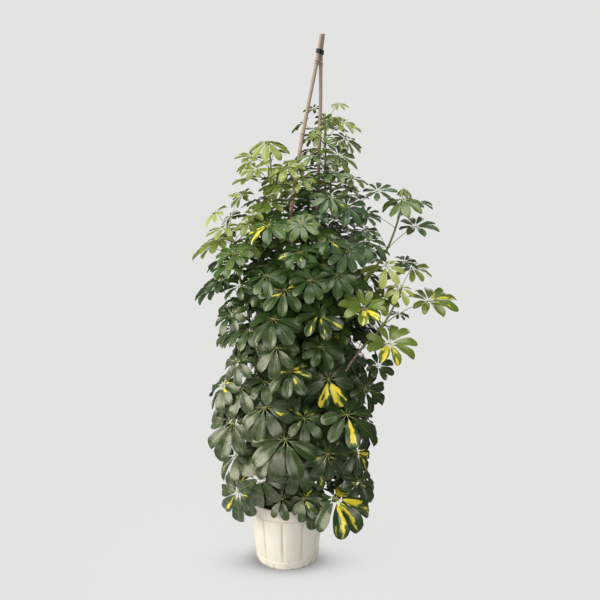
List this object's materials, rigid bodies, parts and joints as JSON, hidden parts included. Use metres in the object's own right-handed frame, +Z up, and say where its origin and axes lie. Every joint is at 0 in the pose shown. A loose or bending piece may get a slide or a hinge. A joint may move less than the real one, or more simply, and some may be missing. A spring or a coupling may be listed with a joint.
{
  "type": "potted umbrella plant",
  "caption": "Variegated umbrella plant with leafy stems in a cream plastic nursery pot, held by bamboo canes tied together at the top.",
  "frame": {"origin": "centre of the pot's flat underside, on the surface that it stands on", "axes": "+Z up, -Y towards the front that the picture shows, +X to the right in the picture"},
  "size_m": [0.8935, 0.6241, 1.8007],
  "materials": {
    "pot": "satin cream plastic, slightly dusty",
    "soil": "dark loose peat and bark",
    "bamboo": "weathered pinkish-tan cane",
    "tie": "dark plastic-covered wire",
    "foliage": "glossy leathery leaves, green with yellow splashes"
  },
  "bodies": {
    "root": {"pot": "pot", "soil": "soil", "cane_left": "bamboo", "cane_right": "bamboo", "cane_tie": "tie", "stem_leader": "foliage", "stem_left_crown": "foliage", "stem_left_middle": "foliage", "stem_right_crown": "foliage", "stem_right_branch": "foliage", "stem_front": "foliage", "stem_left_low": "foliage", "stem_right_low": "foliage", "stem_back": "foliage", "stem_back_left": "foliage"}
  },
  "joints": []
}
